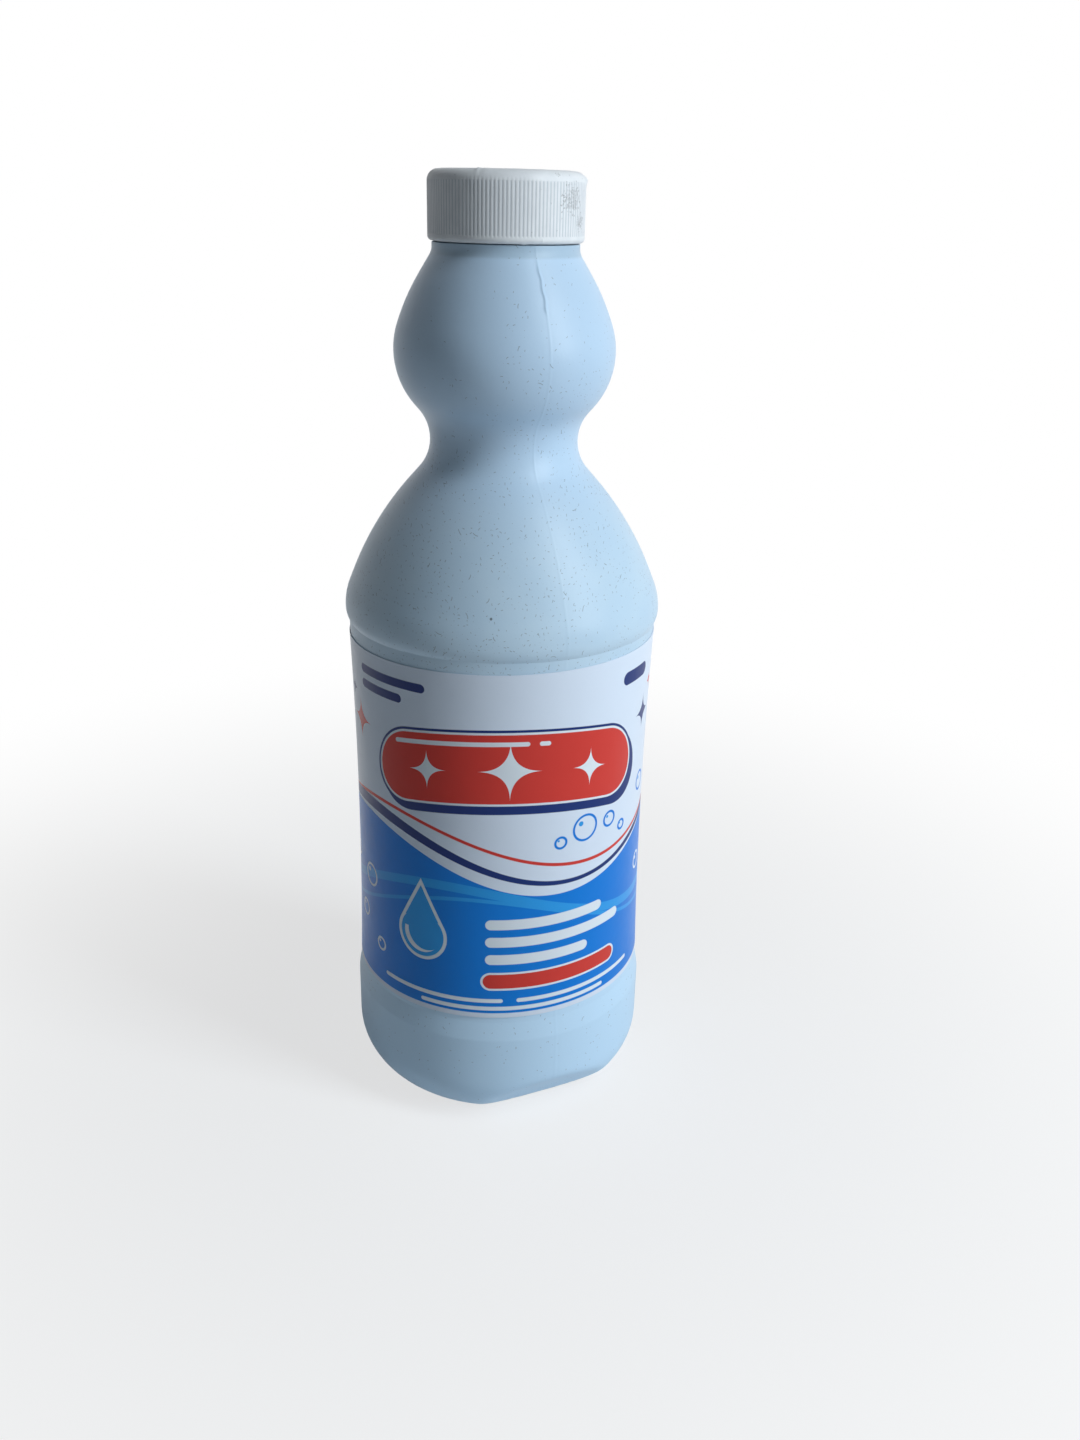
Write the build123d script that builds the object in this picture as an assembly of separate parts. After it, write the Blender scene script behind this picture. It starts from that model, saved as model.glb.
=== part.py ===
from build123d import *
import os
from cmath import phase
from math import cos, degrees, pi, radians, sin, sqrt, tan

# A blow-moulded household bottle with an hourglass body, a ribbed screw cap, a foam wad and a film label.
# Millimetres, +Z up, origin on the standing plane under the middle of the base, label front towards -Y.

# Blown wall
wall = 0.9

# Base: standing ring, push-up, heel and bumper
body_radius = 34.6
heel_round = 12.8
foot_radius = 19.5
foot_round = 1.6
push_up = 4.0
dome_radius = 9.0
dome_round = 25.0
bumper_height = 24.5
bumper_round = 4.0
bumper_step = 4.5
bumper_root_round = 3.0

# Recessed label panel, narrowest at mid height
panel_height = 84.6
panel_end_radius = 33.75
panel_hollow = 0.75
panel_round = 2000.0

# Ledge over the panel, then the shoulder and its flank
ledge_root_round = 1.2
ledge_height = 2.6
ledge_round = 5.0
shoulder_radius = 34.55
shoulder_height = 3.95
shoulder_round = 16.0
flank_radius = 28.1
flank_height = 15.8
flank_round = 68.0

# Waist and bulb, given where the straight flanks beside them would meet
waist_corner_radius = 12.45
waist_height = 17.45
waist_round = 9.4
bulb_corner_radius = 25.25
bulb_under_height = 14.4
bulb_round = 16.3
crown_corner_radius = 20.0
bulb_over_height = 14.4
crown_round = 45.0
crown_height = 8.2

# Neck: collar, threaded finish left plain, bore
collar_radius = 14.85
collar_height = 1.7
collar_round = 0.5
crease_round = 3.0
neck_radius = 12.6
neck_root_round = 0.4
neck_lip_round = 0.6
finish_height = 11.1
bore_radius = 11.0
throat_drop = 0.9
throat_flare = 1.3
throat_round = 2.0

# Parting line of the mould, with its flats on the heel and the weld under the base
parting_angle = -67.4
facet_depth = 2.2
facet_slope = 48.0
weld_length = 15.0
weld_width = 1.0
weld_height = 0.6
weld_seat = 0.3

# Screw cap and its wad
cap_radius = 15.66
cap_gap = 0.2
cap_plate = 1.2
cap_top_round = 2.2
cap_top_band = 2.1
cap_low_band = 1.2
cap_low_round = 0.9
thread_room = 1.4
rib_count = 124
rib_depth = 0.28
rib_groove_share = 0.6
liner_thickness = 1.2
liner_gap = 0.15

# Film label
film = 0.12
glue = 0.03
label_margin_low = 1.5
label_margin_high = 1.1
label_lap = 8.0
label_lap_angle = 90.0

# Levels above the standing plane, stacked from the base up
panel_low = bumper_height + bumper_step
panel_high = panel_low + panel_height
ledge_level = panel_high + ledge_height
shoulder_level = ledge_level + shoulder_height
flank_level = shoulder_level + flank_height
waist_level = flank_level + waist_height
bulb_level = waist_level + bulb_under_height
crown_level = bulb_level + bulb_over_height
crease_level = crown_level + crown_height
collar_level = crease_level + collar_height
mouth_level = collar_level + finish_height
cap_low = collar_level + cap_gap
plate_level = mouth_level + liner_thickness
cap_high = plate_level + cap_plate
label_low = panel_low + label_margin_low
label_high = panel_high - label_margin_high

# Sizes that follow from the fits
skirt_radius = neck_radius + thread_room
liner_radius = skirt_radius - liner_gap
overcut = 2.0
tiny = 1e-6

# Outline corners as radius, level and rounding, running down the outside from the bulb's crown to the base
panel_corner = (panel_end_radius - 2 * panel_hollow, (panel_low + panel_high) / 2, panel_round)
body_corners = [
    (crown_corner_radius, crown_level, crown_round),
    (bulb_corner_radius, bulb_level, bulb_round),
    (waist_corner_radius, waist_level, waist_round),
    (flank_radius, flank_level, flank_round),
    (shoulder_radius, shoulder_level, shoulder_round),
    (shoulder_radius, ledge_level, ledge_round),
    (panel_end_radius, panel_high, ledge_root_round),
    panel_corner,
    (panel_end_radius, panel_low, bumper_root_round),
    (body_radius, bumper_height, bumper_round),
    (body_radius, 0, heel_round),
    (foot_radius, 0, foot_round),
    (dome_radius, push_up, dome_round),
    (0, push_up, 0),
]
neck_corners = [
    (0, mouth_level, 0),
    (neck_radius, mouth_level, neck_lip_round),
    (neck_radius, collar_level, neck_root_round),
    (collar_radius, collar_level, collar_round),
    (collar_radius, crease_level, crease_round),
]
crown_lean = (crown_corner_radius - collar_radius) / crown_height
throat_corners = [
    (bore_radius + wall, mouth_level + overcut, 0),
    (bore_radius + wall, collar_level - throat_drop, throat_round),
    (collar_radius + throat_flare * crown_lean, crease_level - throat_flare, throat_round),
]


def section_point(point):
    """Place an outline point, radius and level as a complex number, in the XZ plane."""
    return (point.real, 0, point.imag)


def roundings(corners):
    """Round the corners of an open outline: centre, radius, side and both end normals of each arc.

    Side is 1 where the outline bulges out and -1 where it is hollow. Where two roundings want more than
    the straight run between them, the longer one gives way.
    """
    points = [complex(radius, level) for radius, level, _ in corners]
    runs = [end - start for start, end in zip(points, points[1:])]
    ways = [run / abs(run) for run in runs]
    turns = [phase(after / before) for before, after in zip(ways, ways[1:])]
    wanted = [corner[2] * tan(abs(turn) / 2) for corner, turn in zip(corners[1:-1], turns)]
    reach = [0.0, *wanted, 0.0]
    for i, run in enumerate(runs):
        excess = reach[i] + reach[i + 1] - abs(run)
        if excess > 0:
            longer = i if reach[i] > reach[i + 1] else i + 1
            reach[longer] -= excess
    arcs = []
    for i, turn in enumerate(turns, start=1):
        side = -1 if turn > 0 else 1
        radius = reach[i] / tan(abs(turn) / 2)
        normal_in = 1j * ways[i - 1]
        normal_out = 1j * ways[i]
        centre = points[i] - reach[i] * ways[i - 1] - side * radius * normal_in
        arcs.append((centre, radius, side, normal_in, normal_out))
    return arcs


def skin(corners, inset=0.0):
    """Edges of the rounded outline, moved by inset into the wall, with its first and last points."""
    arcs = roundings(corners)
    first = complex(*corners[0][:2]) - inset * arcs[0][3]
    last = complex(*corners[-1][:2]) - inset * arcs[-1][4]
    edges = []
    here = first
    for centre, radius, side, normal_in, normal_out in arcs:
        bend = side * radius - inset
        normal_mid = (normal_in + normal_out) / abs(normal_in + normal_out)
        begin, middle, end = (centre + bend * n for n in (normal_in, normal_mid, normal_out))
        if abs(begin - here) > tiny:
            edges.append(Line(section_point(here), section_point(begin)))
        if abs(bend) > tiny:
            edges.append(ThreePointArc(*map(section_point, (begin, middle, end))))
        here = end
    edges.append(Line(section_point(here), section_point(last)))
    return edges, first, last


def turned(edges, sweep=360.0):
    """Solid of revolution about +Z from the closed section that the edges make."""
    return revolve(make_face(edges), Axis.Z, sweep)


def heel_facets(inset=0.0):
    """Two blocks whose inner faces are the flats on the heel at the parting line, moved in by inset."""
    slope = radians(facet_slope)
    depth = heel_round - facet_depth - inset
    out = body_radius - heel_round + depth * cos(slope)
    level = heel_round - depth * sin(slope)
    blocks = []
    for angle in (parting_angle, parting_angle + 180):
        a = radians(angle)
        plane = Plane(
            origin=(out * cos(a), out * sin(a), level),
            x_dir=(-sin(a), cos(a), 0),
            z_dir=(cos(slope) * cos(a), cos(slope) * sin(a), -sin(slope)),
        )
        side = 2 * body_radius
        blocks.append(plane * Box(side, side, heel_round, align=(Align.CENTER, Align.CENTER, Align.MIN)))
    return blocks


def make_hollow():
    """The space inside the bottle, up through the mouth."""
    edges, first, last = skin(throat_corners + body_corners, wall)
    top = complex(0, first.imag)
    edges.append(Line(section_point(last), section_point(top)))
    edges.append(Line(section_point(top), section_point(first)))
    return turned(edges) - heel_facets(wall)


def make_bottle():
    """Blown shell with its neck, heel flats at the parting line and the pinched weld under the base."""
    edges, first, last = skin(neck_corners + body_corners)
    edges.append(Line(section_point(last), section_point(first)))
    body = turned(edges) - heel_facets()
    on_top = (Align.CENTER, Align.CENTER, Align.MIN)
    weld = Box(weld_length, weld_width, weld_height + weld_seat, align=on_top)
    body += Pos(0, 0, push_up - weld_height) * Rot(0, 0, parting_angle) * weld
    return body - make_hollow()


def make_cap():
    """Cap with round top and lower edges and V grooves that leave the ribs standing."""
    outside = [
        (0, cap_high, 0),
        (cap_radius, cap_high, cap_top_round),
        (cap_radius, cap_low, cap_low_round),
        (0, cap_low, 0),
    ]
    edges, first, last = skin(outside)
    edges.append(Line(section_point(last), section_point(first)))
    skirt_depth = plate_level - cap_low
    inside = Cylinder(skirt_radius, skirt_depth + overcut, align=(Align.CENTER, Align.CENTER, Align.MAX))
    cap = turned(edges) - Pos(0, 0, plate_level) * inside
    rib_pitch = 2 * pi * cap_radius / rib_count
    half_groove = rib_pitch * rib_groove_share / 2
    groove = Polygon(
        (cap_radius - rib_depth, 0),
        (cap_radius + rib_depth, -2 * half_groove),
        (cap_radius + rib_depth, 2 * half_groove),
        align=None,
    )
    rib_low = cap_low + cap_low_band
    rib_height = cap_high - cap_top_band - rib_low
    grooves = Sketch() + PolarLocations(0, rib_count) * groove
    return cap - extrude(Pos(0, 0, rib_low) * grooves, rib_height)


def make_liner():
    """Foam wad that lies against the cap's plate and seals on the mouth."""
    wad = Cylinder(liner_radius, liner_thickness, align=(Align.CENTER, Align.CENTER, Align.MIN))
    return Pos(0, 0, mouth_level) * wad


def panel_arc(stand_off):
    """Upright arc that lies stand_off outside the hollow panel, over the label's height."""
    outside = neck_corners + body_corners
    centre, radius = roundings(outside)[outside.index(panel_corner) - 1][:2]
    levels = (label_low, (label_low + label_high) / 2, label_high)
    reach = radius - stand_off
    return [complex(centre.real - sqrt(reach**2 - (z - centre.imag) ** 2), z) for z in levels]


def film_ring(inner, outer, sweep):
    """Ring of film between two stand-offs from the panel."""
    near = panel_arc(inner)
    far = panel_arc(outer)
    edges = [
        ThreePointArc(*map(section_point, near)),
        Line(section_point(near[2]), section_point(far[2])),
        ThreePointArc(*map(section_point, far)),
        Line(section_point(far[0]), section_point(near[0])),
    ]
    return turned(edges, sweep)


def make_label():
    """Film once round the panel, doubled over the lap."""
    lap_sweep = degrees(label_lap / panel_end_radius)
    lap = film_ring(glue + film / 2, glue + 2 * film, lap_sweep)
    return film_ring(glue, glue + film, 360) + Rot(0, 0, label_lap_angle - lap_sweep / 2) * lap


pieces = {
    "bottle": make_bottle(),
    "screw_cap": make_cap(),
    "cap_liner": make_liner(),
    "label": make_label(),
}
os.makedirs("parts", exist_ok=True)
for name, piece in pieces.items():
    export_step(piece, f"parts/{name}.step")
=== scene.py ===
from cmath import phase
from functools import reduce
from math import cos, pi, radians, sin, sqrt, tan

import bmesh
import bpy
import numpy as np
from mathutils import Matrix, Vector


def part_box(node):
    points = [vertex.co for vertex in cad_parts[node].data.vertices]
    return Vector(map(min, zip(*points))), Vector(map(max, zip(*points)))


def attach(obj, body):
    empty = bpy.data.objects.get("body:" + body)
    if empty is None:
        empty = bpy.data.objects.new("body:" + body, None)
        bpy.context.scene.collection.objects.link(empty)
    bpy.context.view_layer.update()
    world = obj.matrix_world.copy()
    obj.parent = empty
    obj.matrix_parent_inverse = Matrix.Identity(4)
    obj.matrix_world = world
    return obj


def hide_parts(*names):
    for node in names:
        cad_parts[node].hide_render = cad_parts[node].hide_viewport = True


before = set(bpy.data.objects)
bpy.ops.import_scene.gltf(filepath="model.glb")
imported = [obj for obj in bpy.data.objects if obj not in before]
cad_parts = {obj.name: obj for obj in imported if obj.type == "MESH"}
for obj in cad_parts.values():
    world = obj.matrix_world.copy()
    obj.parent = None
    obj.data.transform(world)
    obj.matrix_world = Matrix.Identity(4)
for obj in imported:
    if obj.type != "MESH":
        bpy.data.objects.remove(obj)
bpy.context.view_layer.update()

# A blow-moulded household bottle: its skin, label, ribbed cap and wad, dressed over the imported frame.
# Lengths are in millimetres until a mesh is made, then in metres. The front of the label faces -Y.

MM = 0.001
FRONT = radians(-90)
BAKE_MAP = "OFBake"

# Levels read from the frame
mouth_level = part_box("cap_liner")[0].z / MM
plate_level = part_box("cap_liner")[1].z / MM
liner_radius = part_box("cap_liner")[1].x / MM
cap_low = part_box("screw_cap")[0].z / MM
cap_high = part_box("screw_cap")[1].z / MM
cap_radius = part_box("screw_cap")[1].x / MM
label_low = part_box("label")[0].z / MM
label_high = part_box("label")[1].z / MM
label_middle = (label_low + label_high) / 2

# Outline corners of the blown body as radius, level and rounding, from the bulb's crown down to the base
WALL = 0.9
BODY_RADIUS = 34.6
HEEL_ROUND = 12.8
PUSH_UP = 4.0
PANEL_CORNER = (32.25, 71.3, 2000.0)
BODY_CORNERS = [
    (20.0, 182.2, 45.0),
    (25.25, 167.8, 16.3),
    (12.45, 153.4, 9.4),
    (28.1, 135.95, 68.0),
    (34.55, 120.15, 16.0),
    (34.55, 116.25, 5.0),
    (33.82, 115.05, 0.3),
    PANEL_CORNER,
    (33.75, 29.0, 3.0),
    (BODY_RADIUS, 24.5, 4.0),
    (BODY_RADIUS, 0.0, HEEL_ROUND),
    (19.5, 0.0, 1.6),
    (9.0, PUSH_UP, 25.0),
    (0.0, PUSH_UP, 0.0),
]
COLLAR_LEVEL = 192.1
COLLAR_RADIUS = 14.85
CREASE_LEVEL = 190.4
NECK_RADIUS = 12.6
BORE_RADIUS = 11.0
LIP_ROUND = 0.6
NECK_CORNERS = [
    (BORE_RADIUS + LIP_ROUND, mouth_level, 0.0),
    (NECK_RADIUS, mouth_level, LIP_ROUND),
    (NECK_RADIUS, COLLAR_LEVEL, 0.4),
    (COLLAR_RADIUS, COLLAR_LEVEL, 0.15),
    (COLLAR_RADIUS, CREASE_LEVEL, 3.0),
]
THROAT_CORNERS = [
    (BORE_RADIUS + WALL, mouth_level - LIP_ROUND, 0.0),
    (BORE_RADIUS + WALL, 191.2, 2.0),
    (15.67, 189.1, 2.0),
]

# Sampling of outlines and meshes
TINY = 1e-6
RUN_TICKS = 201
ARC_POINTS = 6
ROUND_UP = 0.999
POLE_REACH = 1e-7
SHARP_ANGLE = radians(50)
LIP_POINTS = 7
BODY_COLUMNS = 176
BODY_STEP = 1.2
CROWN_STEP = 0.45
NECK_STEP = 0.35
INSIDE_STEP = 3.0
INSIDE_MAP_SHARE = 0.12

# Slow waves of the blown wall, inward only, each by its count round the body, pitch up it and lead,
# with the spans above the foot and under the crease over which they begin and end
WAVE_DEPTH = 0.09
WAVES = ((2, 19.0, 0.0), (3, -13.0, 1.0))
WAVE_FOOT = (2.0, 12.0)
WAVE_CROWN = (0.0, 6.0)

# Parting line of the mould: its ridge, its flats on the heel and the weld under the base
PARTING_ANGLE = radians(-67.4)
SEAM_ANGLES = (PARTING_ANGLE, PARTING_ANGLE + pi)
SEAM_WIDTH = 0.24
SEAM_LOW = 0.03
SEAM_HIGH = 0.17
SEAM_HIGH_FROM = 180.7
SEAM_HIGH_TO = 189.9
SEAM_HIGH_RISE = 0.6
SEAM_HIGH_FALL = 3.0
SEAM_WANDER = 0.1
SEAM_WANDER_RATE = 1.9
SEAM_FOOT = (0.5, 3.0)
SEAM_MARGIN = 2.0
SEAM_COLUMNS = (-1.0, -0.6, -0.38, -0.2, 0.0, 0.2, 0.38, 0.6, 1.0)
SEAM_COLUMN_REACH = radians(2.4)
SEAM_COLUMN_CLEAR = 1.3
FACET_DEPTH = 2.85
FACET_SLOPE = radians(41)
FACET_SOFT = 0.8
WELD_LENGTH = 15.0
WELD_WIDTH = 0.45
WELD_HEIGHT = 0.5
WELD_END = 1.0
WELD_BAND = 1.0

# Screw thread, one helix on the neck and half a pitch lower in the cap
THREAD_PITCH = 4.23
THREAD_HEIGHT = 1.05
THREAD_CREST = 0.8
THREAD_FOOT = 2.1
THREAD_BASE = 195.0
THREAD_RUN_OUT = 0.12
NECK_THREAD = (0.0, 1.5)
CAP_THREAD = (0.4, 1.6)

# Cap: skirt, ribs and the knocks on its edges, each knock with its angle, height and half width
SKIRT_RADIUS = 14.0
SKIRT_BEVEL = 0.5
SKIRT_FOOT_ROUND = 0.3
SKIRT_TOP_ROUND = 0.4
SKIRT_SLACK = 0.1
CAP_TOP_ROUND = 2.2
CAP_TOP_SLACK = 0.2
CAP_TOP_BAND = 2.1
CAP_LOW_BAND = 1.2
CAP_LOW_ROUND = 0.9
RIB_COUNT = 124
RIB_DEPTH = 0.055
RIB_GROOVE_SHARE = 0.7
RIB_TIP = 0.45
RIB_LOW_SOFT = (-0.2, 0.25)
RIB_HIGH_SOFT = (-0.2, 0.3)
RIB_PHASES = (0.0, 0.15, 0.32, 0.5, 0.68, 0.85)
RIM_KNOCKS = ((-112.0, 0.18, 0.5), (-105.5, 0.1, 0.9), (-84.0, 0.08, 1.6), (-62.0, 0.07, 1.4))
RIM_KNOCK_RISE = 0.8
RIM_KNOCK_RADII = (13.0, 14.2)
FOOT_KNOCK = (-77.0, 0.1, 0.5)
FOOT_KNOCK_REACH = 0.4
FOOT_TICK = (-63.5, 0.07, 0.16)
FOOT_TICK_FADE = 0.3
FOOT_TICK_FROM = 0.2
BURR = (-5.0, 0.4, 1.5)
BURR_LEVEL = 203.9
BURR_REACH = 0.7
CAP_STEP = 1.2
EDGE_STEP = 0.3
RIB_END_STEP = 0.12
RIB_END_REACH = 0.7
THREAD_STEP = 0.4
rib_low = cap_low + CAP_LOW_BAND
rib_high = cap_high - CAP_TOP_BAND

# Wad and the ring that the mouth has pressed into it
WAD_TOP_ROUND = 0.15
WAD_FOOT_ROUND = 0.25
WAD_STEP = 0.4
WAD_COLUMNS = 120
WAD_DENT = 0.12
WAD_DENT_OUTER = 1.2
WAD_DENT_INNER = 0.5
WAD_FACE = 0.1

# Label film, wound once round the panel with its lap at the back
FILM = 0.12
GLUE = 0.03
LAP = 8.0
LAP_ANGLE = radians(90)
LAP_RAMP = radians(4)
LABEL_RADIUS = 33.1
LABEL_TILT = radians(1.1)
LABEL_COLUMNS = 260
LABEL_ROWS = 36
PRINT_PLACE = "print_place"

# Start and span of the film's faces in the bake's map, and the strips for its two ends
LABEL_MAP_ACROSS = (0.02, 0.96)
LABEL_MAP_OUTER = (0.02, 0.86)
LABEL_MAP_INNER = (0.9, 0.08)
LABEL_MAP_ENDS = ((0, 0.005, 0.015, 1), (-1, 0.995, 0.985, -1))

# Camera of the photograph
IMAGE_HEIGHT = 1440
FOCAL_PIXELS = 1250
SENSOR = 36.0
CAMERA_DISTANCE = 267.0
CAMERA_LEVEL = 200.5
CAMERA_PITCH = radians(22.67)
CAMERA_YAW = radians(1.93)
CAMERA_ROLL = radians(-1.33)
CAMERA_CLIP = (0.01, 20.0)


# Outlines

def roundings(corners):
    """Round the corners of an open outline: centre, radius, side and both end normals of each arc."""
    points = [complex(radius, level) for radius, level, _ in corners]
    runs = [end - start for start, end in zip(points, points[1:])]
    ways = [run / abs(run) for run in runs]
    turns = [phase(after / before) for before, after in zip(ways, ways[1:])]
    wanted = [corner[2] * tan(abs(turn) / 2) for corner, turn in zip(corners[1:-1], turns)]
    reach = [0.0, *wanted, 0.0]
    for i, run in enumerate(runs):
        excess = reach[i] + reach[i + 1] - abs(run)
        if excess > 0:
            longer = i if reach[i] > reach[i + 1] else i + 1
            reach[longer] -= excess
    arcs = []
    for i, turn in enumerate(turns, start=1):
        side = -1 if turn > 0 else 1
        radius = reach[i] / tan(abs(turn) / 2)
        normal_in = 1j * ways[i - 1]
        normal_out = 1j * ways[i]
        centre = points[i] - reach[i] * ways[i - 1] - side * radius * normal_in
        arcs.append((centre, radius, side, normal_in, normal_out))
    return arcs


def straight_points(start, end, step):
    """Points after start on a straight run, spaced by step, which gives the spacing at a level."""
    marks = np.linspace(0, 1, RUN_TICKS)
    ticks = start + (end - start) * marks
    spans = np.abs(np.diff(ticks)) / np.array([step(level) for level in ticks[1:].imag])
    passed = np.concatenate([[0], np.cumsum(spans)])
    count = max(1, int(np.ceil(passed[-1])))
    share = np.interp(np.arange(1, count + 1) / count * passed[-1], passed, marks)
    return [start + (end - start) * s for s in share]


def sampled_outline(corners, step, inset=0.0):
    """Points along the rounded outline, moved by inset into the wall."""
    arcs = roundings(corners)
    points = [complex(*corners[0][:2]) - inset * arcs[0][3]]
    for centre, radius, side, normal_in, normal_out in arcs:
        bend = side * radius - inset
        begin = centre + bend * normal_in
        if abs(begin - points[-1]) > TINY:
            points += straight_points(points[-1], begin, step)
        sweep = phase(normal_out / normal_in)
        length = abs(sweep * bend)
        if length < TINY:
            continue
        count = max(ARC_POINTS, int(length / step(begin.imag) + ROUND_UP))
        for k in range(1, count + 1):
            turn = sweep * k / count
            points.append(centre + bend * normal_in * complex(cos(turn), sin(turn)))
    return points + straight_points(points[-1], complex(*corners[-1][:2]) - inset * arcs[-1][4], step)


# Meshes

def soft_step(value, low, high):
    """Smooth rise from 0 at low to 1 at high."""
    share = np.clip((value - low) / (high - low), 0, 1)
    return share * share * (3 - 2 * share)


def turn_between(turn, other):
    """Signed turn from other to turn, the short way round."""
    return (turn - other + pi) % (2 * pi) - pi


def finish_mesh(name, points, faces, corners, material):
    """Object from points in millimetres, with the bake's UV map and one material."""
    mesh = bpy.data.meshes.new(name)
    mesh.from_pydata((points.reshape(-1, 3) * MM).tolist(), [], faces.tolist())
    layer = mesh.uv_layers.new(name=BAKE_MAP)
    layer.uv.foreach_set("vector", corners.astype(np.float32).ravel())
    mesh.materials.append(material)
    piece = bpy.data.objects.new(name, mesh)
    bpy.context.scene.collection.objects.link(piece)
    return piece


def merge_poles(mesh, first, last):
    """Join the points of the first and last rows, which lie on the axis, to one point each."""
    work = bmesh.new()
    work.from_mesh(mesh)
    work.verts.ensure_lookup_table()
    poles = [work.verts[i] for i in (*first, *last)]
    bmesh.ops.remove_doubles(work, verts=poles, dist=POLE_REACH)
    work.to_mesh(mesh)
    work.free()


def lathe(name, outline, columns, shape, map_weight, material):
    """Closed mesh turned about +Z from an outline whose ends lie on the axis; shape places its points."""
    outline = np.array(outline)
    turn, radius = np.meshgrid(columns, outline.real)
    level = np.broadcast_to(outline.imag[:, None], turn.shape)
    points = np.stack(shape(turn, radius, level), axis=-1)
    rows, count = turn.shape
    place = np.arange(rows * count).reshape(rows, count)
    after = np.roll(place, -1, axis=1)
    faces = np.stack([place[:-1], place[1:], after[1:], after[:-1]], axis=-1).reshape(-1, 4)
    lengths = np.abs(np.diff(outline)) * map_weight[1:]
    up = np.concatenate([[0], np.cumsum(lengths)]) / lengths.sum()
    across = np.append(columns - columns[0], 2 * pi) / (2 * pi)
    u = np.stack([across[:-1], across[:-1], across[1:], across[1:]], axis=-1)
    v = np.stack([up[:-1], up[1:], up[1:], up[:-1]], axis=-1)
    corners = np.empty((rows - 1, count, 4, 2))
    corners[..., 0] = u[None]
    corners[..., 1] = v[:, None]
    piece = finish_mesh(name, points, faces, corners, material)
    merge_poles(piece.data, place[0], place[-1])
    piece.data.shade_smooth()
    piece.data.set_sharp_from_angle(angle=SHARP_ANGLE)
    return piece


def thread_share(turn, level, base, runs):
    """How far a helical thread that runs out at both ends stands up, from 0 to 1."""
    laps = (turn % (2 * pi)) / (2 * pi)
    along = (level - base) / THREAD_PITCH - laps
    nearest = np.round(along)
    off = np.abs(along - nearest) * THREAD_PITCH
    run = nearest + laps
    first, last = runs
    ends = soft_step(run, first, first + THREAD_RUN_OUT) * soft_step(-run, -last, THREAD_RUN_OUT - last)
    return ends * (1 - soft_step(off, THREAD_CREST / 2, THREAD_FOOT / 2))


def seam_ridge(turn, radius, level):
    """Height of the parting line's ridge, tallest on the bulb's crown, where it ends short."""
    tall = soft_step(level, SEAM_HIGH_FROM - SEAM_HIGH_RISE, SEAM_HIGH_FROM)
    tall = tall * soft_step(-level, -SEAM_HIGH_TO, SEAM_HIGH_FALL - SEAM_HIGH_TO)
    wander = SEAM_WANDER * np.sin(level * SEAM_WANDER_RATE) * tall
    ridge = np.zeros_like(radius)
    for angle in SEAM_ANGLES:
        across = turn_between(turn, angle) * radius - wander
        ridge += np.exp(-((across / SEAM_WIDTH) ** 2))
    return ridge * (SEAM_LOW + (SEAM_HIGH - SEAM_LOW) * tall)


def heel_flats(points, inset):
    """Press the heel flat on both sides of the parting line, with soft edges."""
    for angle in SEAM_ANGLES:
        out = np.array([cos(angle), sin(angle), 0])
        normal = out * cos(FACET_SLOPE) - np.array([0, 0, sin(FACET_SLOPE)])
        centre = out * (BODY_RADIUS - HEEL_ROUND) + np.array([0, 0, HEEL_ROUND])
        over = points @ normal - centre @ normal - (HEEL_ROUND - FACET_DEPTH - inset)
        edge = (np.clip(over, -FACET_SOFT, FACET_SOFT) + FACET_SOFT) ** 2 / (4 * FACET_SOFT)
        points = points - np.maximum(edge, over)[..., None] * normal
    return points


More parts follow.
